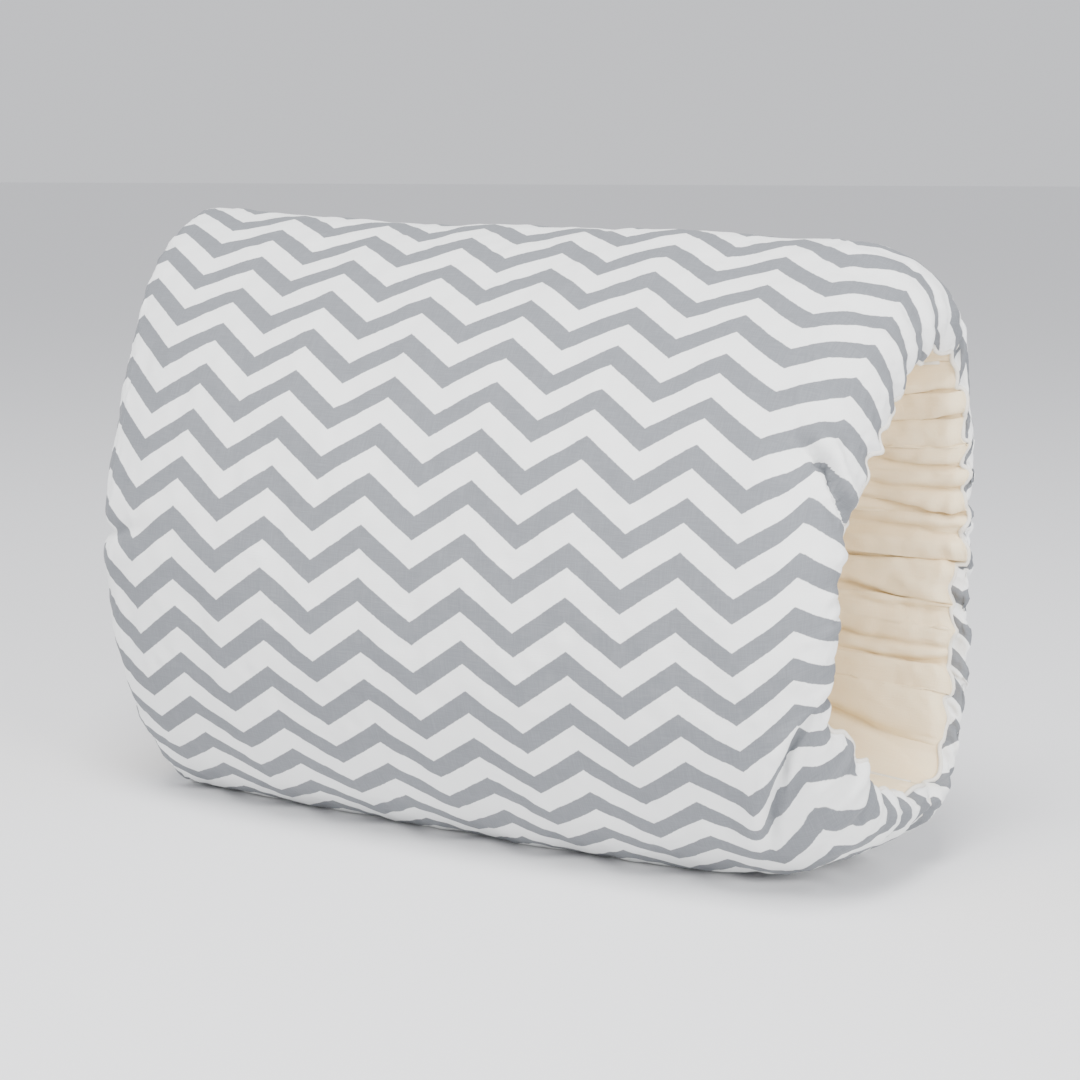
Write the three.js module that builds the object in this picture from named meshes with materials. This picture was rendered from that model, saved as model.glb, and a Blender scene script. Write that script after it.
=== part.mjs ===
// Nursing pillow worn on the arm: a padded cotton tube with a gathered sleeve through it.
// Millimetres, +Z up. X runs along the sleeve, -Y is the padded front where the baby's head
// rests, and the pillow stands on its long narrow side. Origin: middle of the base.
import * as THREE from "three";
import { mergeVertices } from "three/addons/utils/BufferGeometryUtils.js";

// Overall size
const LENGTH = 289; // end to end along the sleeve
const DEPTH = 114; // padded front to back
const HEIGHT = 203; // base to ridge at mid length
const TAPER = 0.015; // share of its height that the +X end loses, and the -X end gains

// Outer section, as the cushion stands
const RIDGE_SHARE = 0.77; // of the depth, from the front back to the ridge
const BELLY_SHARE = 0.43; // of the height, from the base up to the widest level
const SAG = 15; // how far the round base would reach below the floor if it weren't flattened
const RIDGE_POWER = 1.4; // how sharply the upper front falls back to the ridge
const BACK_POWER = 0.5; // how squarely the back is turned

// End of the padded wall, rolled over into the sleeve
const END_ROLL = 30; // length of the rounded end along X
const ROLL_ANGLE = (120 * Math.PI) / 180; // how far the end rolls over before the rim

// Walls between the outer section and the hollow through it: at the mouth, which is the sewn rim
// at each end, and at mid length, where the padding presses the sleeve together
const MOUTH_WALLS = { front: 20, back: 10, base: 28, top: 34 };
const SLEEVE_WALLS = { front: 53, back: 12, base: 42, top: 47 };
const HOLLOW_FRONT_POWER = 0.8; // how squarely the lower front of the hollow is turned

// Materials and stitching
const CLOTH = 1.2; // thickness of the cover or lining
const GAP = 0.5; // clearance between neighbouring pieces
const PADDING_GAP = 1.8; // clearance of the soft padding from a seam allowance
const SEAM_WIDTH = 7; // depth of a seam allowance
const SEAM_THICK = 1.2;
const RIM_BEAD = 1.3; // radius of the overlocked rim seam
const ELASTIC_WIDTH = 6;
const ELASTIC_THICK = 1.6;
const CASING = 12; // stitched room beyond the elastic that the padding leaves free
const PADDING_ROLL = (40 * Math.PI) / 180; // how far round the rolled end the padding reaches
const TOP_SEAM = 0.33; // share of the way round from the front, over the ridge, to the top seam
const BOTTOM_SEAM = 0.725; // and on round the back to the bottom seam

// Grid counts
const AROUND_FRONT = 24;
const AROUND_BACK = 15;
const STRAIGHT_STEPS = 2;
const PADDED_ROLL_STEPS = 3;
const TIP_STEPS = 2;
const WALL_STEPS = 4;

// A closed section in the YZ plane, built from four quarter superellipses about its widest level.
// Angle 0 is the front, a quarter turn is the ridge and half a turn is the back.
class Section extends THREE.Curve {
  constructor({ y, z, front, back, up, down, upFront, downFront, behind, floor }) {
    super();
    Object.assign(this, { y, z, front, back, up, down, upFront, downFront, behind, floor });
    this.arcLengthDivisions = 720;
  }
  at(angle) {
    const c = Math.cos(angle);
    const s = Math.sin(angle);
    const power = c < 0 ? this.behind : s > 0 ? this.upFront : this.downFront;
    const reach = c < 0 ? this.back : -this.front;
    const y = this.y + reach * Math.abs(c) ** power;
    const z = this.z + (s > 0 ? this.up : this.down) * s;
    return new THREE.Vector3(0, y, Math.max(z, this.floor));
  }
  getPoint(t, target = new THREE.Vector3()) {
    return target.copy(this.at(2 * Math.PI * t));
  }
}

const ridgeY = (RIDGE_SHARE - 0.5) * DEPTH;
const bellyHeight = BELLY_SHARE * HEIGHT;
const outer = new Section({
  y: ridgeY,
  z: bellyHeight,
  front: DEPTH / 2 + ridgeY,
  back: DEPTH / 2 - ridgeY,
  up: HEIGHT - bellyHeight,
  down: bellyHeight + SAG,
  upFront: RIDGE_POWER,
  downFront: 1,
  behind: BACK_POWER,
  floor: 0,
});

// The hollow's section, a wall's thickness inside the outer one all round.
function hollow(walls) {
  const height = HEIGHT - walls.base - walls.top;
  return new Section({
    y: ridgeY,
    z: walls.base + height / 2,
    front: DEPTH / 2 + ridgeY - walls.front,
    back: DEPTH / 2 - ridgeY - walls.back,
    up: height / 2,
    down: height / 2,
    upFront: RIDGE_POWER,
    downFront: HOLLOW_FRONT_POWER,
    behind: BACK_POWER,
    floor: 0,
  });
}
const mouth = hollow(MOUTH_WALLS);
const sleeve = hollow(SLEEVE_WALLS);

const straightX = LENGTH / 2 - END_ROLL;
const rimX = straightX + END_ROLL * Math.sin(ROLL_ANGLE);
const coverRun = straightX + END_ROLL * ROLL_ANGLE;
const straightShare = straightX / coverRun;

// The angle round the section that lies a given share of the outer section's length from the front.
const angleAt = (share) => 2 * Math.PI * outer.getUtoTmapping(((share % 1) + 1) % 1);

// The outer face of the cover: u runs from the -X rim (-1) over the outside to the +X rim (1).
function coverPoint(u, angle) {
  const t = Math.abs(u);
  const roll = (Math.max(t - straightShare, 0) / (1 - straightShare)) * ROLL_ANGLE;
  const x = (Math.min(t / straightShare, 1) * straightX + END_ROLL * Math.sin(roll)) * Math.sign(u);
  const share = (Math.cos(roll) - Math.cos(ROLL_ANGLE)) / (1 - Math.cos(ROLL_ANGLE));
  const p = mouth.at(angle).lerp(outer.at(angle), share);
  p.x = x;
  p.z *= 1 - (TAPER * x) / (LENGTH / 2);
  return p;
}

// The inner face of the sleeve, from the -X rim (-1) to the +X rim (1).
function liningPoint(u, angle) {
  const p = sleeve.at(angle).lerp(mouth.at(angle), u * u);
  p.x = u * rimX;
  p.z *= 1 - (TAPER * p.x) / (LENGTH / 2);
  return p;
}

// A point that stands off a surface by a height, towards the padding when it is positive.
function standOff(surface, u, angle, height) {
  const d = 1e-3;
  const side = Math.sign(u) * d || d;
  const along = surface(u, angle).sub(surface(u - side, angle)).multiplyScalar(Math.sign(side));
  const round = surface(u, angle + d).sub(surface(u, angle - d));
  const normal = along.cross(round).normalize();
  return surface(u, angle).addScaledVector(normal, surface === coverPoint ? -height : height);
}

// The change of angle that moves a point round a surface by a distance.
function turnFor(surface, u, angle, distance) {
  const d = 1e-3;
  const step = surface(u, angle + d).distanceTo(surface(u, angle - d));
  return (distance / step) * 2 * d;
}

// A box whose u, v and w sides, each from 0 to 1, are mapped into a solid by a function.
function mappedBox(segments, place) {
  const box = new THREE.BoxGeometry(1, 1, 1, ...segments);
  box.deleteAttribute("normal");
  box.deleteAttribute("uv");
  const geometry = mergeVertices(box, 1e-6);
  const position = geometry.getAttribute("position");
  for (let i = 0; i < position.count; i++) {
    const p = place(position.getX(i) + 0.5, position.getY(i) + 0.5, position.getZ(i) + 0.5);
    position.setXYZ(i, p.x, p.y, p.z);
  }
  return facingOut(geometry);
}

// A ring round the sleeve: place(angle, turn) maps the way round and the turn about the section.
// Its steps lie at the same angles as those of the panels beside it.
function mappedRing(sides, place) {
  const steps = front.steps + back.steps;
  const torus = new THREE.TorusGeometry(2, 1, sides, steps);
  torus.deleteAttribute("normal");
  torus.deleteAttribute("uv");
  const geometry = mergeVertices(torus, 1e-6);
  const position = geometry.getAttribute("position");
  const v = new THREE.Vector3();
  for (let i = 0; i < position.count; i++) {
    v.fromBufferAttribute(position, i);
    const step = (Math.round((Math.atan2(v.y, v.x) / (2 * Math.PI)) * steps) + steps) % steps;
    const onBack = Math.max(step - front.steps, 0) / back.steps;
    const onFront = Math.min(step / front.steps, 1);
    const share = front.from + onFront * (front.to - front.from) + onBack * (back.from - back.to);
    const angle = angleAt(share);
    const p = place(angle, Math.atan2(v.z, Math.hypot(v.x, v.y) - 2));
    position.setXYZ(i, p.x, p.y, p.z);
  }
  return facingOut(geometry);
}

// Turns the faces round if a mapping has turned the solid inside out.
function facingOut(geometry) {
  const position = geometry.getAttribute("position");
  const index = geometry.getIndex();
  const [a, b, c] = [new THREE.Vector3(), new THREE.Vector3(), new THREE.Vector3()];
  let volume = 0;
  for (let i = 0; i < index.count; i += 3) {
    a.fromBufferAttribute(position, index.getX(i));
    b.fromBufferAttribute(position, index.getX(i + 1));
    c.fromBufferAttribute(position, index.getX(i + 2));
    volume += a.dot(b.cross(c));
  }
  for (let i = 0; volume < 0 && i < index.count; i += 3) {
    const first = index.getX(i);
    index.setX(i, index.getX(i + 1));
    index.setX(i + 1, first);
  }
  return geometry;
}

const material = (color, roughness) => new THREE.MeshStandardMaterial({ color, roughness, metalness: 0 });
const printedCotton = material(0xc8cacc, 0.9);
const creamCotton = material(0xe2d3bd, 0.92);
const fibre = material(0xf4f3ef, 1);
const elasticWeb = material(0xeeeae2, 0.7);
const thread = material(0xf1efe9, 0.8);

const group = new THREE.Group();
function add(name, geometry, finish) {
  const mesh = new THREE.Mesh(geometry, finish);
  mesh.name = name;
  group.add(mesh);
}

// The two parts of the way round: the padded front from seam to seam, and the gathered back.
const topAngle = angleAt(TOP_SEAM);
const bottomAngle = angleAt(BOTTOM_SEAM);
const front = { from: BOTTOM_SEAM - 1, to: TOP_SEAM, steps: AROUND_FRONT };
const back = { from: BOTTOM_SEAM, to: TOP_SEAM, steps: AROUND_BACK };

// A point of a part that stands off a surface, a share v of the way from one seam to the other.
// At the two edges it's drawn back from the seam by a clearance.
function pointInPart(surface, part, u, v, height, clear) {
  const at = (step) => {
    const share = part.from + (step / part.steps) * (part.to - part.from);
    return standOff(surface, u, angleAt(share), height);
  };
  const step = Math.round(v * part.steps);
  const p = at(step);
  const inwards = step === 0 ? 1 : step === part.steps ? -1 : 0;
  return inwards ? p.add(at(step + inwards).sub(p).setLength(clear)) : p;
}

// Shares of the way from mid length to the rim: the straight part, the roll up to the end of the
// padding, on to the tip of the roll, and the end of the cloth.
function stations(run, paddingRoom, tipRoom, clothRoom) {
  const list = [];
  const steps = (from, to, count) => {
    for (let i = 1; i <= count; i++) list.push(from + ((to - from) * i) / count);
  };
  const paddingEnd = 1 - paddingRoom / run;
  const tipEnd = 1 - tipRoom / run;
  steps(0, straightShare, STRAIGHT_STEPS);
  steps(straightShare, paddingEnd, PADDED_ROLL_STEPS);
  steps(paddingEnd, tipEnd, TIP_STEPS);
  list.push(1 - clothRoom / run);
  return list;
}
const tip = END_ROLL * (ROLL_ANGLE - Math.PI / 2);
const coverCasing = END_ROLL * (ROLL_ANGLE - PADDING_ROLL);
const liningCasing = RIM_BEAD + 2 * GAP + ELASTIC_WIDTH + CASING;
const onCover = stations(coverRun, coverCasing, tip, 2 * (RIM_BEAD + GAP));
const onLining = stations(rimX, liningCasing, liningCasing / 2, RIM_BEAD + GAP);

// The station at a share p of the way from the -X end to the +X end, out of the first few.
function stationAt(list, count, p) {
  const step = Math.round((2 * p - 1) * count);
  return step === 0 ? 0 : Math.sign(step) * list[Math.abs(step) - 1];
}
const clothCount = onCover.length;
const paddingCount = STRAIGHT_STEPS + PADDED_ROLL_STEPS;

// Cloth: a thin curved panel between two seams and two rims.
function clothPanel(surface, part) {
  return mappedBox([2 * clothCount, part.steps, 1], (p, q, r) => {
    const outside = surface === coverPoint;
    const u = stationAt(outside ? onCover : onLining, clothCount, p);
    return pointInPart(surface, part, u, q, (outside ? r : 1 - r) * CLOTH, GAP / 2);
  });
}
add("front_cover_panel", clothPanel(coverPoint, front), printedCotton);
add("back_cover_panel", clothPanel(coverPoint, back), printedCotton);
add("front_lining_panel", clothPanel(liningPoint, front), creamCotton);
add("back_lining_panel", clothPanel(liningPoint, back), creamCotton);

// The wall between the cloths at a station: a line across it from the lining to the cover.
function acrossWall(p, pointOn) {
  const u = stationAt(onLining, paddingCount, p);
  const v = stationAt(onCover, paddingCount, p);
  return new THREE.Line3(pointOn(liningPoint, u, CLOTH + GAP), pointOn(coverPoint, v, CLOTH + GAP));
}

// Padding: fills the wall between two seams, up to the casings at the rims.
function padding(part) {
  const clear = SEAM_THICK / 2 + PADDING_GAP;
  return mappedBox([2 * paddingCount, part.steps, WALL_STEPS], (p, q, r) =>
    acrossWall(p, (on, u, height) => pointInPart(on, part, u, q, height, clear)).at(r, new THREE.Vector3()),
  );
}
add("front_cushion_fill", padding(front), fibre);
add("back_wadding", padding(back), fibre);

// Seam allowances: the turned-in edges of two panels, standing from the cloth into the wall.
function sideSeam(surface, angle) {
  return mappedBox([2 * paddingCount, 1, 1], (p, q, r) => {
    const width = (q - 0.5) * SEAM_THICK;
    const wall = acrossWall(p, (on, u, height) =>
      standOff(on, u, angle + turnFor(on, u, angle, width), height),
    );
    const depth = (r * SEAM_WIDTH) / wall.distance();
    return wall.at(surface === coverPoint ? 1 - depth : depth, new THREE.Vector3());
  });
}
add("cover_top_seam", sideSeam(coverPoint, topAngle), thread);
add("cover_bottom_seam", sideSeam(coverPoint, bottomAngle), thread);
add("lining_top_seam", sideSeam(liningPoint, topAngle), thread);
add("lining_bottom_seam", sideSeam(liningPoint, bottomAngle), thread);

// Rims: at each end an overlocked bead joins cover and lining, and an elastic lies behind it.
const squared = (value) => Math.max(-1, Math.min(1, 1.4 * value));
for (const [side, end] of [["left", -1], ["right", 1]]) {
  const bead = mappedRing(6, (angle, turn) => {
    const p = liningPoint(end, angle);
    const outwards = standOff(liningPoint, end, angle, 1).sub(p);
    p.x += RIM_BEAD * Math.cos(turn);
    return p.addScaledVector(outwards, RIM_BEAD * Math.sin(turn));
  });
  add(side + "_rim_seam", bead, thread);

  const middle = RIM_BEAD + 2 * GAP + ELASTIC_WIDTH / 2;
  const band = mappedRing(8, (angle, turn) => {
    const u = end * (1 - (middle + (squared(Math.cos(turn)) * ELASTIC_WIDTH) / 2) / rimX);
    const height = CLOTH + GAP + (ELASTIC_THICK / 2) * (1 + squared(Math.sin(turn)));
    return standOff(liningPoint, u, angle, height);
  });
  add(side + "_rim_elastic", band, elasticWeb);
}

export default group;
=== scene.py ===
"""Arm nursing pillow: a padded chevron cotton tube with a gathered cream sleeve through it."""

import math

import bmesh
import bpy
import numpy as np
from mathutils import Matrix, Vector, noise


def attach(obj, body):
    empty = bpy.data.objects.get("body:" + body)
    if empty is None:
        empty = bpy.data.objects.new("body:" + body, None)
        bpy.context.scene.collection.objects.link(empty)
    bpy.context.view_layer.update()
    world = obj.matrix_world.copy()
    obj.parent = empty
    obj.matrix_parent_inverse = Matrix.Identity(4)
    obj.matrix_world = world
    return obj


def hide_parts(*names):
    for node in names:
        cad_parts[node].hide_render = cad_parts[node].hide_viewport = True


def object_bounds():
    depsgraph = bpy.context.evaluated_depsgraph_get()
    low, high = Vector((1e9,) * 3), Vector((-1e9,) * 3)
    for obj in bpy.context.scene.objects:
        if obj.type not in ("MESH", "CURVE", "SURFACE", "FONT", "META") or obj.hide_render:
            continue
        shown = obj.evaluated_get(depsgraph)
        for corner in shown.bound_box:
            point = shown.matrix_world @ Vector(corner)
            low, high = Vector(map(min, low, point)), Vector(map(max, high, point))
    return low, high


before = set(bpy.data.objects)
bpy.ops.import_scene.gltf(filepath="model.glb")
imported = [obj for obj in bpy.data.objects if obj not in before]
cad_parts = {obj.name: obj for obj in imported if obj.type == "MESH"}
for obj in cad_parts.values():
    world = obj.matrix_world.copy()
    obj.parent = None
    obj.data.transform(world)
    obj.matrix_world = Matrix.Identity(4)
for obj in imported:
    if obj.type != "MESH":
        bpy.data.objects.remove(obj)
cad_low, cad_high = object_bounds()

MM = 0.001

# ---------------------------------------------------------------- sizes, in metres

RIGHT_END = cad_high.x
LEFT_END = cad_low.x
FRONT_Y = cad_low.y
BACK_Y = cad_high.y
HEIGHT = 200.4 * MM  # of the ridge at mid length
RIDGE_Y = FRONT_Y + 88 * MM
BELLY_Z = 86.5 * MM
SAG = 8 * MM  # how far the round base would reach below the floor if it lay unpressed
TOP_SEAM = 0.33  # shares of the way round, from the front over the ridge
BOTTOM_SEAM = 0.725
THIN_BACK_END = BOTTOM_SEAM - 0.2  # the back's upper half is thin, and the rest is rounded as the front is

FRONT_ROLL = {-1: 16 * MM, 1: 32 * MM}  # how long the padded end is rounded, left and right
BACK_ROLL = 5 * MM
ROLL_ANGLE = math.radians(120)
STRAIGHT_SHARE = 0.62  # of the grid's steps from the middle to a rim, before the end starts to roll
# Where an end rolls in less: by how many degrees, then the middle and width as shares of the way round.
LESS_ROLLED = ((20, 0.15, 0.055), (26, -0.10, 0.045))

FRONT_RECEDES = {-1: 15 * MM, 1: 4 * MM}  # how far the front falls back towards each end
RIDGE_DROPS = {-1: -4.5 * MM, 1: 6 * MM}
BASE_RISES = {-1: 0 * MM, 1: 11 * MM}
FRONT_PULLED_IN = {-1: 8 * MM, 1: 0.0}  # the padded front of the left end stops short of its back
TAPER_REACH = 140 * MM  # from the middle, where the taper of an end is whole
WAIST_Z = 90 * MM  # the level between the tapers of the ridge and of the base

MOUTH_WALLS = dict(front=20 * MM, back=4 * MM, base=20 * MM, top=31 * MM)
SLEEVE_WALLS = dict(front=53 * MM, back=7 * MM, base=40 * MM, top=46 * MM)
CLOTH = 0.6 * MM

STEPS_ALONG = 200
FRONT_STEPS, BACK_STEPS = 236, 130


def smooth(low, high, value):
    t = np.clip((value - low) / (high - low), 0, 1)
    return t * t * (3 - 2 * t)


def outline(angle, z, front, back, up, down, powers, floor=-1.0):
    """The pillow's section: y and z at an angle, where 0 is the front and a quarter turn the ridge."""
    c, s = np.cos(angle), np.sin(angle)
    power = np.where(c < 0, powers[2], np.where(s > 0, powers[0], powers[1]))
    y = RIDGE_Y + np.where(c < 0, back, -front) * np.abs(c) ** power
    return y, np.maximum(z + np.where(s > 0, up, down) * s, floor)


def outer_outline(angle):
    return outline(angle, BELLY_Z, RIDGE_Y - FRONT_Y, BACK_Y - RIDGE_Y, HEIGHT - BELLY_Z,
                   BELLY_Z + SAG, (1.4, 1.0, 0.5), floor=0.0)


def hollow_outline(angle, walls):
    half = (HEIGHT - walls["base"] - walls["top"]) / 2
    return outline(angle, walls["base"] + half, RIDGE_Y - FRONT_Y - walls["front"],
                   BACK_Y - RIDGE_Y - walls["back"], half, half, (1.35, 0.78, 0.5))


TURN = np.linspace(0, 2 * math.pi, 4097)
RUN = np.concatenate([[0], np.cumsum(np.hypot(*(np.diff(k) for k in outer_outline(TURN))))])
GIRTH = RUN[-1]


def angle_at(share):
    """The angle a share of the way round from the front, over the ridge and down the back."""
    whole = np.floor(share)
    return np.interp((share - whole) * GIRTH, RUN, TURN) + whole * 2 * math.pi


def padded_share(share):
    """0 on the thin upper back and 1 elsewhere: soft at the top seam, and a step at THIN_BACK_END."""
    s = np.mod(share + 0.5, 1) - 0.5
    s = np.where(s < THIN_BACK_END - 1, s + 1, s)
    return 1 - smooth(TOP_SEAM - 0.03, TOP_SEAM + 0.04, s)


def by_side(x, values):
    return np.where(x < 0, values[-1], values[1])


def settle(x, y, z):
    """Draws the plain tube in towards its ends, as the stuffing thins out."""
    end = np.clip(np.abs(x) / TAPER_REACH, 0, 1.1)
    forward = np.clip((RIDGE_Y - y) / (RIDGE_Y - FRONT_Y), 0, 1)
    upper = np.clip((z - WAIST_Z) / (HEIGHT - WAIST_Z), 0, 1)
    lower = np.clip((WAIST_Z - z) / WAIST_Z, 0, 1)
    y = y + by_side(x, FRONT_RECEDES) * end ** 3 * forward
    z = z - by_side(x, RIDGE_DROPS) * end ** 2 * upper + by_side(x, BASE_RISES) * end ** 4 * lower
    x = x - np.sign(x) * by_side(x, FRONT_PULLED_IN) * end ** 4 * forward
    return np.stack([x, y, z], -1)


def rim_pucker(share, side):
    """How the gathered rim wanders, in metres: out from the sleeve and along it."""
    t = share * 2 * math.pi
    phase = 1.7 * side
    out = (0.9 * np.sin(31 * t + phase + 1.6 * np.sin(5 * t))
           + 0.6 * np.sin(47 * t + 2.1 * np.sin(3 * t + phase)))
    along = 0.9 * np.sin(23 * t + 2 * np.sin(4 * t + phase)) + 0.6 * np.sin(41 * t + phase)
    return out * MM, along * MM


def bump(value, middle, width):
    return np.exp(-((value - middle) / width) ** 2)


def front_share(share):
    """The share counted from the front: above it to the top seam, and below it to the bottom one."""
    s = np.mod(share, 1)
    return np.where(s > BOTTOM_SEAM, s - 1, s)


def cover_surface(along, share):
    """The cover's outer face: along runs from -1 at one rim to 1 at the other."""
    side = np.where(along < 0, -1, 1)
    s = front_share(share)
    less = sum(degrees * bump(s, middle, width) for degrees, middle, width in LESS_ROLLED)
    roll_angle = ROLL_ANGLE - np.radians(less)
    pad = padded_share(share)
    roll = BACK_ROLL + (by_side(along, FRONT_ROLL) - BACK_ROLL) * pad
    roll = roll - np.where(along < 0, 9 * smooth(0.06, 0.2, s) * pad, 12 * bump(s, 0.17, 0.07)) * MM
    end = np.where(along < 0, -LEFT_END + 6 * MM * bump(s, 0.23, 0.11), RIGHT_END)
    t = np.abs(along)
    turn = np.clip(t - STRAIGHT_SHARE, 0, None) / (1 - STRAIGHT_SHARE) * roll_angle
    x = (np.minimum(t / STRAIGHT_SHARE, 1) * (end - roll) + roll * np.sin(turn)) * side
    out = (np.cos(turn) - np.cos(roll_angle)) / (1 - np.cos(roll_angle))
    angle = angle_at(share)
    y0, z0 = hollow_outline(angle, MOUTH_WALLS)
    y1, z1 = outer_outline(angle)
    near_rim = (1 - out) ** 2
    r_out, r_along = rim_pucker(share, side)
    dy, dz = y1 - y0, z1 - z0
    size = np.hypot(dy, dz) + 1e-9
    y = y0 + dy * out + dy / size * r_out * near_rim
    z = z0 + dz * out + dz / size * r_out * near_rim
    notch = bump(s, -0.08, 0.036) * near_rim * MM
    x = x - side * 7 * notch
    y = y - 7 * notch
    return settle(x + side * r_along * near_rim, y, z)


def lining_surface(along, share):
    """The sleeve's inner face, from the rim at -1 to the rim at 1."""
    rims = cover_surface(np.where(along < 0, -1.0, 1.0), share)
    angle = angle_at(share)
    y0, z0 = hollow_outline(angle, SLEEVE_WALLS)
    t = np.abs(along)
    mix = smooth(0, 1, t) * 0.5 + 0.5 * t ** 2
    x = rims[..., 0] * t
    y = y0 + (rims[..., 1] - y0) * mix
    z = z0 + (rims[..., 2] - z0) * mix
    return np.stack([x, y, z], -1)


# ---------------------------------------------------------------- cloth on a grid

def cumulative_run(spots, start):
    """The distance along each column of a grid of spots, measured from its start row."""
    step = np.linalg.norm(np.diff(spots, axis=0), axis=-1)
    run = np.concatenate([np.zeros((1, spots.shape[1])), np.cumsum(step, axis=0)])
    return run - run[start]


def normals_of(spots):
    """Unit normals of a grid of spots, out from the sleeve on the cover."""
    along = np.gradient(spots, axis=0)
    round_ = np.gradient(spots, axis=1)
    n = np.cross(along, round_)
    return n / (np.linalg.norm(n, axis=-1, keepdims=True) + 1e-12)


def grid_into(bm, spots, fabric, flip=False):
    """Adds a grid of cloth laid on spots, with its UVs from fabric; returns its vertices by row."""
    rows, columns = spots.shape[:2]
    uv = bm.loops.layers.uv.get("fabric") or bm.loops.layers.uv.new("fabric")
    made = bmesh.ops.create_grid(bm, x_segments=rows - 1, y_segments=columns - 1, size=0.5)["verts"]
    rowed = {}
    for vert in made:
        i = round((vert.co.x + 0.5) * (rows - 1))
        j = round((vert.co.y + 0.5) * (columns - 1))
        rowed[vert] = (i, j)
        vert.co = spots[i, j]
    faces = {face for vert in made for face in vert.link_faces}
    for face in faces:
        for loop in face.loops:
            loop[uv].uv = fabric[rowed[loop.vert]]
    if flip:
        bmesh.ops.reverse_faces(bm, faces=list(faces))
    return rowed


def piece_from(bm, name, smooth_faces=True):
    mesh = bpy.data.meshes.new(name)
    bm.to_mesh(mesh)
    bm.free()
    if smooth_faces:
        mesh.polygons.foreach_set("use_smooth", [True] * len(mesh.polygons))
    piece = bpy.data.objects.new(name, mesh)
    bpy.context.collection.objects.link(piece)
    return piece


shares = np.concatenate([
    np.linspace(BOTTOM_SEAM - 1, TOP_SEAM, FRONT_STEPS + 1),
    np.linspace(TOP_SEAM, BOTTOM_SEAM, BACK_STEPS + 1)[1:]])
alongs = np.linspace(-1, 1, STEPS_ALONG + 1)
ALONG, SHARE = np.meshgrid(alongs, shares, indexing="ij")
cover_spots = cover_surface(ALONG, SHARE)
middle = STEPS_ALONG // 2
cover_run = cumulative_run(cover_spots, middle) + cover_spots[middle, :, 0]

# ---------------------------------------------------------------- gathers, by cloth simulation

SIM_ALONG, SIM_ROUND = 100, 156
SIM_FRAMES = 16
MOST_MOVE = 7 * MM
CUT_LARGER = 1.02  # the cloth's cut size against the tube that it covers
STIR = 0.15 * MM  # how unevenly the cloth starts, so that it gathers
HOLD = 0.75  # how firmly the fill holds the cloth along the middle


def resampled(grid, at, axis):
    """A grid of values read between its rows on smooth curves."""
    slope = np.gradient(grid, axis=axis)
    low = np.minimum(at.astype(int), grid.shape[axis] - 2)
    f = (at - low).reshape([-1 if k == axis else 1 for k in range(grid.ndim)])
    v0, v1 = np.take(grid, low, axis), np.take(grid, low + 1, axis)
    m0, m1 = np.take(slope, low, axis), np.take(slope, low + 1, axis)
    return (v0 * (1 + 2 * f) * (1 - f) ** 2 + m0 * f * (1 - f) ** 2
            + v1 * f * f * (3 - 2 * f) + m1 * f * f * (f - 1))


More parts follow.
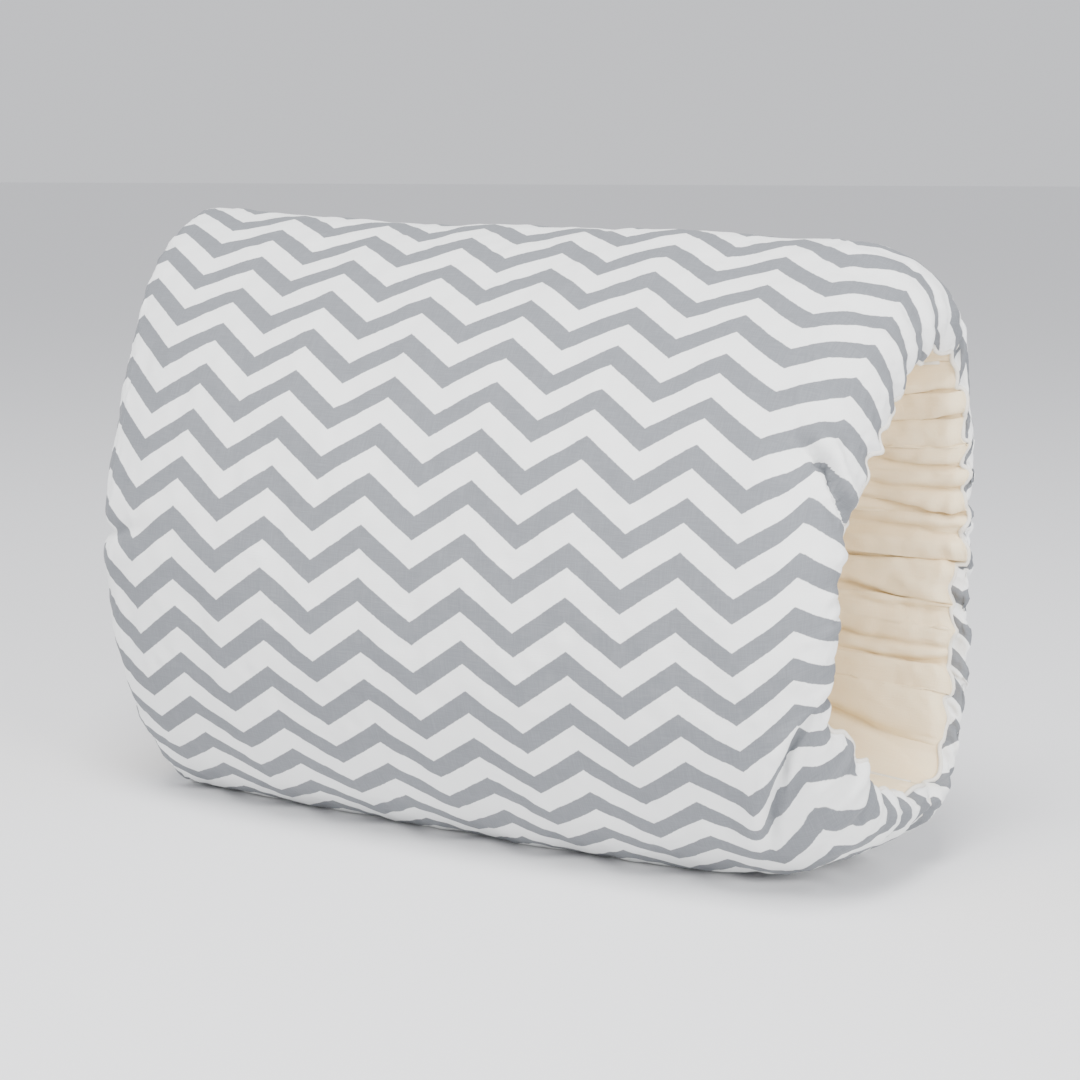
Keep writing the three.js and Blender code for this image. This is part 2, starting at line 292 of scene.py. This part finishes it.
def gathered_move():
    """How far the cover cloth moves when cloth of its cut size is held by the short rims."""
    share_line = np.linspace(0, 1, SIM_ROUND + 1)
    along_line = np.linspace(-1, 1, SIM_ALONG + 1)
    a, s = np.meshgrid(along_line, share_line, indexing="ij")
    spots = cover_surface(a, s)
    run = cumulative_run(spots, SIM_ALONG // 2)
    bm = bmesh.new()
    order = bm.verts.layers.int.new("order")
    for v, (i, j) in grid_into(bm, spots, np.zeros(spots.shape[:2] + (2,))).items():
        v[order] = i * (SIM_ROUND + 1) + j
    bmesh.ops.remove_doubles(bm, verts=bm.verts, dist=1e-7)
    places = np.array([v[order] for v in bm.verts])
    rows, columns = places // (SIM_ROUND + 1), places % (SIM_ROUND + 1)
    cloth = piece_from(bm, "cover_cloth")
    cloth.shape_key_add(name="as_laid")
    cut = cloth.shape_key_add(name="as_cut")
    turn = s[rows, columns] * 2 * math.pi
    radius = GIRTH * CUT_LARGER / (2 * math.pi)
    flat = np.stack([run[rows, columns] * CUT_LARGER, -radius * np.cos(turn), radius * np.sin(turn)], -1)
    cut.data.foreach_set("co", flat.ravel())
    cut.value = 0
    rng = np.random.default_rng(7)
    stir = normals_of(spots)[rows, columns] * rng.normal(0, STIR, len(rows))[:, None]
    start = spots[rows, columns] + stir
    cloth.data.shape_keys.key_blocks[0].data.foreach_set("co", start.ravel())
    hold = HOLD * (1 - smooth(0.45, 0.66, np.abs(a))) + 0.01
    hold[0], hold[-1] = 1, 1
    group = cloth.vertex_groups.new(name="held")
    for index, weight in enumerate(hold[rows, columns]):
        group.add([index], float(weight), "REPLACE")
    sim = cloth.modifiers.new("cloth", "CLOTH")
    sets = sim.settings
    sets.quality = 7
    sets.mass = 0.01
    sets.tension_stiffness = sets.compression_stiffness = 80
    sets.tension_damping = sets.compression_damping = 0.2
    sets.shear_stiffness = 4
    sets.shear_damping = 0.1
    sets.bending_stiffness = 0.005
    sets.bending_damping = 0.02
    sets.air_damping = 0.1
    sets.vertex_group_mass = "held"
    sets.pin_stiffness = 0.001
    sets.use_pressure = True
    sets.uniform_pressure_force = 4
    sets.effector_weights.gravity = 0
    sets.rest_shape_key = cut
    sim.collision_settings.use_self_collision = False
    sim.collision_settings.use_collision = False
    sim.point_cache.frame_start, sim.point_cache.frame_end = 1, SIM_FRAMES
    for step in range(1, SIM_FRAMES + 1):
        bpy.context.scene.frame_set(step)
    settled = cloth.evaluated_get(bpy.context.evaluated_depsgraph_get()).to_mesh()
    co = np.empty(len(settled.vertices) * 3)
    settled.vertices.foreach_get("co", co)
    move = np.zeros_like(spots)
    move[rows, columns] = co.reshape(-1, 3) - spots[rows, columns]
    move[:, -1] = move[:, 0]
    bpy.context.scene.frame_set(1)
    bpy.data.objects.remove(cloth)
    far = np.linalg.norm(move, axis=-1, keepdims=True)
    move *= np.minimum(1, MOST_MOVE / np.maximum(far, 1e-9))
    along_at = (alongs + 1) / 2 * SIM_ALONG
    round_at = np.mod(shares, 1) * SIM_ROUND
    return resampled(resampled(move, along_at, 0), round_at, 1)


cover_spots = cover_spots + gathered_move()

# ---------------------------------------------------------------- seams pull the cover in

def seam_dip(spots):
    n = normals_of(spots)
    dip = np.zeros(spots.shape[:2])
    for seam in (TOP_SEAM, BOTTOM_SEAM, BOTTOM_SEAM - 1):
        away = (SHARE - seam) * GIRTH
        near = np.exp(-(away / (2.4 * MM)) ** 2)
        pucker = 0.5 * np.sin(cover_run / (1.35 * MM) + 1.3 * np.sin(cover_run / (6 * MM)))
        dip += (1.9 + pucker) * near * MM + 0.35 * MM * pucker * np.exp(-np.abs(away) / (7 * MM))
    ends = smooth(1.0, 0.93, np.abs(ALONG))
    return spots - n * (dip * ends)[..., None]


cover_spots = seam_dip(cover_spots)
cover_spots[..., 2] = np.maximum(cover_spots[..., 2], 0)

# ---------------------------------------------------------------- tucks, pleats and the print

run_mm = cover_run / MM
up_mm = np.where(SHARE > BOTTOM_SEAM, SHARE - 1, SHARE) * GIRTH / MM  # cloth up from the front
right_end = smooth(0.3, 0.5, ALONG)


def wander(grid_a, grid_b, seed):
    """Soft noise read at two grids of numbers."""
    flat = [noise.noise((p, q, seed)) for p, q in zip(grid_a.ravel(), grid_b.ravel())]
    return np.array(flat).reshape(grid_a.shape)


def lobes(phase, sharpness):
    """Rounded folds with narrow creases between them, from 0 in a crease to 1 on a fold."""
    return np.abs(np.sin(math.pi * phase)) ** sharpness


def upper_tuck():
    """A tuck that runs from the padded front into the upper part of the mouth."""
    crease = np.interp(run_mm, (129, 134.5, 140.6, 147, 156, 165), (63, 59.6, 56, 45, 38, 36))
    away = up_mm - crease
    depth = np.interp(run_mm, (128, 131, 136, 143, 152, 162), (0, 2.0, 5.6, 5.4, 3.0, 1.2)) * right_end
    move = depth * (-1.0 * bump(away, 0, 2.2) + 0.55 * bump(away, 7, 5) - 0.35 * bump(away, -6, 4.5))
    hidden = 8 * smooth(129, 140, run_mm) * right_end * smooth(3, -3, away) * np.exp(-np.abs(away) / 34)
    return move, hidden


def left_tuck():
    """A soft tuck at the front of the left end."""
    away = up_mm - np.interp(run_mm, (-160, -135, -112, -95), (4, 9, 13, 16))
    depth = np.interp(run_mm, (-160, -140, -122, -100), (1.0, 2.6, 2.2, 0)) * smooth(-0.3, -0.5, ALONG)
    return depth * (-1.0 * bump(away, 0, 2.6) + 0.6 * bump(away, -8, 6) + 0.3 * bump(away, 8, 5))


def lower_tuck():
    """A mitred tuck where the padded front turns under towards the sleeve."""
    crease = np.interp(up_mm, (-92, -75, -55, -45, -34, -30), (112, 118, 125.7, 131, 138, 143))
    away = run_mm - crease
    reach = np.interp(up_mm, (-92, -78, -62, -45, -34, -29), (0, 0.45, 1, 1, 0.7, 0)) * right_end
    move = reach * (-4.6 * bump(away, 1.0, 2.2) + 2.6 * bump(away, -4.5, 4) - 1.8 * bump(away, 7, 5))
    past = np.clip(away, 0, 24)
    fan = (-0.30 * bump(up_mm, -58, 16) + 0.16 * bump(up_mm, -104, 18)) * past * right_end
    step = -6 * reach * smooth(-2.4, 2.4, away) * np.exp(-past / 30)
    return move, fan + step


def rim_pleats():
    """Short pleats that the elastic draws up round each mouth."""
    edge_run = np.where(run_mm < 0, run_mm[:1], run_mm[-1:])
    from_rim = np.abs(edge_run - run_mm)
    low = smooth(-35, -70, up_mm) + smooth(85, 120, up_mm)
    drift = wander(run_mm / 60, up_mm / 22, 4.0)
    fine = lobes((up_mm + 5 * drift) / 7.3, 0.75) - 0.6
    wide = lobes((up_mm + 9 * drift + 0.12 * from_rim) / 17.5, 0.8) - 0.6
    strength = 0.6 + 0.9 * wander(run_mm / 90, up_mm / 30, 9.0)
    back = 1 - padded_share(SHARE)
    reach = 1 + 0.8 * wander(run_mm * 0, up_mm / 14, 12.0)
    return (fine * (0.9 + 0.7 * low) * np.exp(-(from_rim / (11 + 8 * low)) ** 2)
            + wide * (0.7 + 1.5 * low - 0.4 * back)
            * np.exp(-(from_rim / ((22 + 14 * low + 34 * back) * reach)) ** 2)) * strength


def back_crown():
    """The thin wadding rounds the back a little, and the rims draw long creases into it."""
    wide = np.clip((SHARE - TOP_SEAM) / (BOTTOM_SEAM - TOP_SEAM), 0, 1)
    crown = 3.4 * np.sin(math.pi * wide) ** 0.6 * (1 - ALONG ** 2)
    from_rim = np.abs(np.where(run_mm < 0, run_mm[:1], run_mm[-1:]) - run_mm)
    bent = up_mm + 6 * wander(run_mm / 45, up_mm / 40, 15.0)
    reach = 26 + 26 * np.abs(wander(run_mm * 0, bent / 16, 16.0))
    crease = lobes(bent / 15.5, 0.42) - 0.95
    return crown + 2.2 * crease * np.exp(-(from_rim / reach) ** 2) * np.sin(math.pi * wide) ** 0.4


def stuffing():
    """Low swells and slack creases that loose filling leaves in the cloth."""
    swell = 1.1 * wander(run_mm / 38, up_mm / 34, 1.0) + 0.5 * wander(run_mm / 13, up_mm / 17, 2.0)
    slack = 0.28 * wander(run_mm / 6, up_mm / 11, 6.0)
    thin = 1 + 0.5 * (1 - padded_share(SHARE))
    return (swell + slack) * thin * smooth(1.0, 0.9, np.abs(ALONG))


upper_move, upper_hidden = upper_tuck()
lower_move, lower_hidden = lower_tuck()
out_move = (upper_move + lower_move + left_tuck() + rim_pleats() + stuffing() + back_crown()) * MM
away_from_rims = smooth(1.0, 0.985, np.abs(ALONG)) * 0.75 + 0.25
cover_spots = cover_spots + normals_of(cover_spots) * (out_move * away_from_rims)[..., None]
cover_spots[..., 2] = np.maximum(cover_spots[..., 2], 0)

PRINT_PER_RUN, PRINT_PER_UP = 0.983, 0.972  # how far the stuffing stretches the print, both ways
PRINT_START = 26.5 * MM  # how far the print is set back at the middle of the pillow
PRINT_TOP = 131.1 * MM  # down to the front-most line
PRINT_SWELL = 0.3  # per metre, off the middle of the front
PRINT_SLANT = 0.008
TUCKED_AWAY = 6 * MM  # of the print, where the right end rolls over
TOP_RIGHT_ALONG, TOP_RIGHT_DOWN = 3.6, 2.4  # mm that the print is drawn to the upper right corner

cloth_up = up_mm * MM
upper_front = smooth(40, 75, up_mm) * right_end
top_right = smooth(88, 120, up_mm) * smooth(40, 95, run_mm)
print_along = PRINT_PER_RUN * cover_run - PRINT_START + PRINT_SWELL * (cover_run ** 2 + cloth_up ** 2)
print_along = print_along - TUCKED_AWAY * smooth(108, 138, run_mm) * upper_front
print_along = print_along - TOP_RIGHT_ALONG * MM * top_right
drawn_down = 0.5 * np.clip(run_mm - 139, 0, 24) * upper_front  # by the elastic, past the roll
drawn_up = TOP_RIGHT_DOWN * top_right
print_down = PRINT_TOP - PRINT_PER_UP * cloth_up + PRINT_SLANT * cover_run
print_down = print_down + (upper_hidden - lower_hidden + drawn_down - drawn_up) * MM
fabric = np.stack([print_along, print_down], -1)
BACK_PRINT = np.array([11 * MM, 5 * MM])  # the back panel is cut from another part of the print
fabric[:, FRONT_STEPS + 1:] += BACK_PRINT

# ---------------------------------------------------------------- finishes

def finish_named(name):
    mat = bpy.data.materials.new(name)
    mat.use_nodes = True
    return mat, mat.node_tree.nodes, mat.node_tree.links


def maths(nodes, links, operation, first, second=None):
    node = nodes.new("ShaderNodeMath")
    node.operation = operation
    for socket, value in zip(node.inputs, (first, second)):
        if value is None:
            continue
        if isinstance(value, (int, float)):
            socket.default_value = value
        else:
            links.new(value, socket)
    return node.outputs[0]


def noise_on(nodes, links, vector, scale, detail=2.0):
    node = nodes.new("ShaderNodeTexNoise")
    node.inputs["Scale"].default_value = scale
    node.inputs["Detail"].default_value = detail
    links.new(vector, node.inputs["Vector"])
    return node.outputs["Fac"]


def ranged(nodes, links, value, low, high, to_low, to_high, smoothly=False):
    node = nodes.new("ShaderNodeMapRange")
    if smoothly:
        node.interpolation_type = "SMOOTHSTEP"
    links.new(value, node.inputs[0])
    for socket, number in zip(list(node.inputs)[1:5], (low, high, to_low, to_high)):
        socket.default_value = number
    return node.outputs[0]


def mixed(nodes, links, share, first, second):
    node = nodes.new("ShaderNodeMix")
    node.data_type = "RGBA"
    for socket, value in ((node.inputs[0], share), (node.inputs[6], first), (node.inputs[7], second)):
        if isinstance(value, tuple):
            socket.default_value = value
        elif isinstance(value, (int, float)):
            socket.default_value = value
        else:
            links.new(value, socket)
    return node.outputs[2]


def stretched(nodes, links, vector, scale):
    node = nodes.new("ShaderNodeMapping")
    node.inputs["Scale"].default_value = scale
    links.new(vector, node.inputs["Vector"])
    return node.outputs[0]


GREY_INK, GREY_INK_THIN = (0.18, 0.19, 0.206, 1), (0.30, 0.31, 0.325, 1)
WHITE_COTTON, WHITE_COTTON_PALER = (0.84, 0.85, 0.845, 1), (0.90, 0.905, 0.895, 1)
CREAM_COTTON, CREAM_COTTON_PALER = (0.93, 0.745, 0.475, 1), (0.97, 0.845, 0.60, 1)
CREAM_FLECK = (0.975, 0.90, 0.72, 1)
THREAD_DARK, THREAD_LIGHT = (0.72, 0.68, 0.60, 1), (0.86, 0.83, 0.77, 1)
THREADS_ALONG, THREADS_ACROSS = 150, 2600  # noise per metre, along a thread and across it
THREAD_DEPTH = 0.25 * MM
CHEVRON_WIDTH = 37.86 * MM
CHEVRON_DROP = 12.2 * MM
ROW_PITCH = 16 * MM
GREY_SHARE = 0.46
EDGE_BLEED = 0.012  # share of a row that grey fades over, to each side of an edge


def weave(nodes, links, uv, shader, strength):
    """Plain weave: warp and weft threads with slubs, as bump; returns a thread tint."""
    warp = noise_on(nodes, links, stretched(nodes, links, uv, (THREADS_ALONG, THREADS_ACROSS, 1)), 1.0, 3)
    weft = noise_on(nodes, links, stretched(nodes, links, uv, (THREADS_ACROSS, THREADS_ALONG, 1)), 1.0, 3)
    both = maths(nodes, links, "ADD", warp, weft)
    relief = nodes.new("ShaderNodeBump")
    relief.inputs["Strength"].default_value = strength
    relief.inputs["Distance"].default_value = THREAD_DEPTH
    links.new(both, relief.inputs["Height"])
    links.new(relief.outputs[0], shader.inputs["Normal"])
    return both


def chevron_cotton():
    mat, nodes, links = finish_named("chevron_cotton")
    shader = nodes["Principled BSDF"]
    uv = nodes.new("ShaderNodeUVMap")
    uv.uv_map = "fabric"
    split = nodes.new("ShaderNodeSeparateXYZ")
    links.new(uv.outputs[0], split.inputs[0])
    m = lambda *a: maths(nodes, links, *a)
    column = m("FRACT", m("DIVIDE", split.outputs[0], CHEVRON_WIDTH))
    rise = m("SUBTRACT", 1.0, m("MULTIPLY", m("ABSOLUTE", m("SUBTRACT", column, 0.5)), 2.0))
    row = m("DIVIDE", m("SUBTRACT", split.outputs[1], m("MULTIPLY", rise, CHEVRON_DROP)), ROW_PITCH)
    away = m("ABSOLUTE", m("SUBTRACT", m("FRACT", m("ADD", row, 0.5)), 0.5))
    bleed = noise_on(nodes, links, uv.outputs[0], 900, 2)
    away = m("ADD", away, m("MULTIPLY", m("SUBTRACT", bleed, 0.5), 0.03))
    edge = GREY_SHARE / 2
    white = ranged(nodes, links, away, edge - EDGE_BLEED, edge + EDGE_BLEED, 0, 1, True)
    threads = weave(nodes, links, uv.outputs[0], shader, 0.35)
    flecks = ranged(nodes, links, threads, 0.8, 1.25, 0.0, 0.22, True)
    grey = mixed(nodes, links, flecks, GREY_INK, GREY_INK_THIN)
    cloudy = noise_on(nodes, links, uv.outputs[0], 28, 3)
    pale = mixed(nodes, links, cloudy, WHITE_COTTON, WHITE_COTTON_PALER)
    colour = mixed(nodes, links, white, grey, pale)
    links.new(colour, shader.inputs["Base Color"])
    shader.inputs["Roughness"].default_value = 0.88
    shader.inputs["Specular IOR Level"].default_value = 0.25
    shader.inputs["Sheen Weight"].default_value = 0.12
    shader.inputs["Sheen Roughness"].default_value = 0.4
    return mat


def cream_cotton():
    mat, nodes, links = finish_named("cream_cotton")
    shader = nodes["Principled BSDF"]
    uv = nodes.new("ShaderNodeUVMap")
    uv.uv_map = "fabric"
    threads = weave(nodes, links, uv.outputs[0], shader, 0.5)
    cloudy = noise_on(nodes, links, uv.outputs[0], 60, 4)
    tone = mixed(nodes, links, cloudy, CREAM_COTTON, CREAM_COTTON_PALER)
    flecks = ranged(nodes, links, threads, 0.8, 1.3, 0, 0.25)
    tone = mixed(nodes, links, flecks, tone, CREAM_FLECK)
    links.new(tone, shader.inputs["Base Color"])
    shader.inputs["Roughness"].default_value = 0.92
    shader.inputs["Specular IOR Level"].default_value = 0.2
    shader.inputs["Sheen Weight"].default_value = 0.2
    shader.inputs["Sheen Roughness"].default_value = 0.5
    return mat


def sewing_thread():
    mat, nodes, links = finish_named("sewing_thread")
    shader = nodes["Principled BSDF"]
    place = nodes.new("ShaderNodeTexCoord")
    twist = noise_on(nodes, links, place.outputs["Object"], 1800, 2)
    tone = mixed(nodes, links, twist, THREAD_DARK, THREAD_LIGHT)
    links.new(tone, shader.inputs["Base Color"])
    shader.inputs["Roughness"].default_value = 0.7
    return mat


chevron, cream, thread = chevron_cotton(), cream_cotton(), sewing_thread()

# ---------------------------------------------------------------- the padded cover

INNER_STEPS = 12  # along the padding's inner face
FRONT_BEHIND, BACK_BEHIND = 3.5 * MM, 3.2 * MM  # how far the padding stays behind the lining


def padded_panel(name, first, last, behind):
    """A closed padded piece: the cover cloth outside and its padding's inner face along the sleeve."""
    outside = cover_spots[:, first:last + 1]
    inner_alongs = np.linspace(-1, 1, INNER_STEPS + 1)
    a, s = np.meshgrid(inner_alongs, shares[first:last + 1], indexing="ij")
    inside = lining_surface(a, s)
    inside = inside + normals_of(inside) * behind * (1 - np.abs(a) ** 8)[..., None]
    inside[0], inside[-1] = outside[0], outside[-1]
    bm = bmesh.new()
    grid_into(bm, outside, fabric[:, first:last + 1])
    plain = np.zeros(inside.shape[:2] + (2,))
    fill_faces = {face for vert in grid_into(bm, inside, plain, flip=True) for face in vert.link_faces}
    for face in fill_faces:
        face.material_index = 1
    bmesh.ops.remove_doubles(bm, verts=bm.verts, dist=1e-6)
    open_edges = [e for e in bm.edges if e.is_boundary]
    sides = bmesh.ops.holes_fill(bm, edges=open_edges, sides=0)["faces"]
    bmesh.ops.triangulate(bm, faces=sides)
    bmesh.ops.recalc_face_normals(bm, faces=bm.faces)
    piece = piece_from(bm, name)
    piece.data.materials.append(chevron)
    piece.data.materials.append(cream)
    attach(piece, "root")
    return piece


front_cover = padded_panel("front_cover", 0, FRONT_STEPS, FRONT_BEHIND)
back_cover = padded_panel("back_cover", FRONT_STEPS, FRONT_STEPS + BACK_STEPS, BACK_BEHIND)
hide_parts("front_cover_panel", "front_cushion_fill")
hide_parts("back_cover_panel", "back_wadding")

# ---------------------------------------------------------------- the gathered sleeve lining

ROLL_PITCH = 8.2 * MM
LINING_BACK = 150 * MM  # of cloth round the back of the sleeve
FIRST_ROLL, LAST_ROLL = 7.0, 106  # mm down from the top seam
LAST_FOLD_LEAN, LAST_FOLD_DEPTH = 0.22, 1.7  # mm down per mm to the right, and against the other folds
DEEPEST = -1.6  # mm, so that the lining stays clear of the padding behind it


def back_rolls(spots, share, along):
    """Soft rolls that the rim elastics gather into the back of the lining."""
    wide = (share - TOP_SEAM) / (BOTTOM_SEAM - TOP_SEAM)
    down = wide * LINING_BACK / MM
    x = along * RIGHT_END / MM
    rng = np.random.default_rng(11)
    creases, at = [], FIRST_ROLL
    while at < LAST_ROLL:
        creases.append((at, rng.uniform(-0.05, 0.05), rng.uniform(0, 50), 1.0))
        at += ROLL_PITCH / MM * rng.uniform(0.84, 1.18)
    # The last fold slants down towards the right mouth.
    creases.append((at - 7, LAST_FOLD_LEAN, 90.0, LAST_FOLD_DEPTH))
    depth = np.zeros_like(down)
    for start, lean, seed, deep in creases:
        bend = wander(x / 34, down * 0 + seed, seed) * 3.6 + wander(x / 9, down * 0, seed) * 0.8
        gap = down - (start + lean * np.maximum(x, -30) + bend)
        strength = np.clip(0.95 + 0.7 * wander(x / 30, down * 0 + 3.3, seed), 0.3, 1.4) * deep
        depth += strength * (2.8 * bump(gap, 0, 1.05) + 1.2 * bump(gap, 1.1, 2.9))
    slack = 1.1 * wander(x / 12, down / 8, 5.0) + 0.6 * wander(x / 4.5, down / 3.5, 8.0)
    slack *= smooth(132, 112, down) * 0.8 + 0.2
    swell = 3.4 * smooth(0, 6, down) * smooth(140, 126, down)
    off_seams = smooth(0, 0.05, wide) * smooth(1, 0.94, wide)
    height = np.maximum(swell - depth + slack, DEEPEST) * MM * off_seams
    fade = smooth(1.0, 0.97, np.abs(along)) * 0.6 + 0.4
    return spots - normals_of(spots) * (height * fade)[..., None]


def front_slack(spots, share, along):
    """The smooth front of the lining, with a few pleats at its rims."""
    up, x = share * GIRTH / MM, along * RIGHT_END / MM
    near = np.exp(-(RIGHT_END / MM - np.abs(x)) / 16)
    pleat = (lobes((up + 5 * wander(x / 40, up / 20, 2.0)) / 8.6, 0.8) - 0.5) * 1.5 * near
    slack = 0.9 * wander(x / 22, up / 16, 3.0) + 0.45 * wander(x / 7, up / 6, 7.0)
    height = (pleat + slack) * MM * smooth(1.0, 0.985, np.abs(along))
    return spots + normals_of(spots) * height[..., None]


def lining_panel(name, first_share, last_share, steps_round, steps_along, rolls):
    s_line = np.linspace(first_share, last_share, steps_round + 1)
    a_line = np.sin(np.linspace(-math.pi / 2, math.pi / 2, steps_along + 1))
    a, s = np.meshgrid(a_line, s_line, indexing="ij")
    spots = lining_surface(a, s)
    spots = (back_rolls if rolls else front_slack)(spots, s, a)
    run = cumulative_run(spots, steps_along // 2)
    cut = np.stack([run, s * GIRTH], -1)
    bm = bmesh.new()
    grid_into(bm, spots, cut)
    bmesh.ops.reverse_faces(bm, faces=bm.faces)
    piece = piece_from(bm, name)
    wall = piece.modifiers.new("cloth_thickness", "SOLIDIFY")
    wall.thickness = CLOTH
    wall.offset = -1
    piece.data.materials.append(cream)
    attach(piece, "root")
    return piece


back_lining = lining_panel("back_lining", TOP_SEAM, BOTTOM_SEAM, 260, 130, True)
front_lining = lining_panel("front_lining", BOTTOM_SEAM - 1, TOP_SEAM, 200, 110, False)
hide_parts("back_lining_panel")
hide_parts("front_lining_panel")

# ---------------------------------------------------------------- rims and stitching

def cord_along(name, path, radius, sides=8, closed=True):
    """A round bead that follows a path."""
    path = np.asarray(path)
    ahead = np.roll(path, -1, 0) - np.roll(path, 1, 0)
    if not closed:
        ahead[0], ahead[-1] = path[1] - path[0], path[-1] - path[-2]
    ahead /= np.linalg.norm(ahead, axis=1, keepdims=True)
    up = np.cross(ahead, np.array([1.0, 0, 0]) if closed else np.array([0, 0, 1.0]))
    up /= np.linalg.norm(up, axis=1, keepdims=True)
    across = np.cross(ahead, up)
    turn = np.linspace(0, 2 * math.pi, sides + 1)
    c, s = np.cos(turn)[None, :, None], np.sin(turn)[None, :, None]
    rows = path[:, None] + radius * (c * up[:, None] + s * across[:, None])
    if closed:
        rows = np.concatenate([rows, rows[:1]])
    bm = bmesh.new()
    grid_into(bm, rows, np.zeros(rows.shape[:2] + (2,)))
    bmesh.ops.remove_doubles(bm, verts=bm.verts, dist=1e-6)
    if not closed:
        bmesh.ops.holes_fill(bm, edges=[e for e in bm.edges if e.is_boundary], sides=0)
    bmesh.ops.recalc_face_normals(bm, faces=bm.faces)
    piece = piece_from(bm, name)
    piece.data.materials.append(thread)
    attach(piece, "root")
    return piece


RIM_BEAD, COVER_STITCH, LINING_STITCH = 0.8 * MM, 0.35 * MM, 0.7 * MM  # radii

for row, title in ((0, "left"), (-1, "right")):
    rim = cover_spots[row, :-1]
    bead = cord_along(title + "_rim", rim, RIM_BEAD)
    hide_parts(title + "_rim_seam", title + "_rim_elastic")

for title, column in (("cover_top", FRONT_STEPS), ("cover_bottom", 0)):
    line = cover_spots[4:-4, column] + normals_of(cover_spots)[4:-4, column] * 0.1 * MM
    bead = cord_along(title + "_stitching", line, COVER_STITCH, 6, closed=False)
    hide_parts(title + "_seam")

for title, share in (("lining_top", TOP_SEAM), ("lining_bottom", BOTTOM_SEAM)):
    a = np.linspace(-0.97, 0.97, 80)
    line = lining_surface(a, np.full_like(a, share))
    bead = cord_along(title + "_stitching", line, LINING_STITCH, 6, closed=False)
    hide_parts(title + "_seam")

# ---------------------------------------------------------------- the scene

CAMERA_PLACE = (0.450, -0.6721, 0.2189)
CAMERA_TURN, CAMERA_RISE = math.radians(32.66), math.radians(8.44)
LENS, SENSOR = 83.3, 36  # mm
CENTRE = (0, 0, 0.1)
# name, place, size in metres, power in watts
LIGHTS = (("key_light", (0.3, -0.7, 1.4), 0.7, 34),
          ("fill_light", (-0.9, -1.2, 0.6), 1.2, 7),
          ("mouth_light", (1.3, -0.7, 0.6), 0.5, 18))
FLOOR_SIZE = 30
PALE_GREY = (0.86, 0.86, 0.87, 1)
SKY, SKY_STRENGTH = (0.95, 0.96, 1, 1), 0.9


def place_camera():
    data = bpy.data.cameras.new("camera")
    data.lens = LENS
    data.sensor_width = SENSOR
    camera = bpy.data.objects.new("camera", data)
    bpy.context.collection.objects.link(camera)
    camera.location = CAMERA_PLACE
    turn, rise = CAMERA_TURN, CAMERA_RISE
    back = Vector((math.sin(turn) * math.cos(rise), -math.cos(turn) * math.cos(rise), math.sin(rise)))
    camera.rotation_euler = (-back).to_track_quat("-Z", "Y").to_euler()
    bpy.context.scene.camera = camera


def soft_light(name, place, size, power):
    data = bpy.data.lights.new(name, "AREA")
    data.shape = "SQUARE"
    data.size = size
    data.energy = power
    lamp = bpy.data.objects.new(name, data)
    bpy.context.collection.objects.link(lamp)
    lamp.location = place
    lamp.rotation_euler = (Vector(CENTRE) - Vector(place)).to_track_quat("-Z", "Y").to_euler()


def pale_floor():
    bm = bmesh.new()
    bmesh.ops.create_grid(bm, x_segments=1, y_segments=1, size=FLOOR_SIZE)
    floor = piece_from(bm, "floor", smooth_faces=False)
    mat, nodes, links = finish_named("pale_floor")
    nodes["Principled BSDF"].inputs["Base Color"].default_value = PALE_GREY
    nodes["Principled BSDF"].inputs["Roughness"].default_value = 0.9
    floor.data.materials.append(mat)


place_camera()
pale_floor()
for name, place, size, power in LIGHTS:
    soft_light(name, place, size, power)
world = bpy.data.worlds.new("soft_sky")
bpy.context.scene.world = world
world.use_nodes = True
world.node_tree.nodes["Background"].inputs[0].default_value = SKY
world.node_tree.nodes["Background"].inputs[1].default_value = SKY_STRENGTH
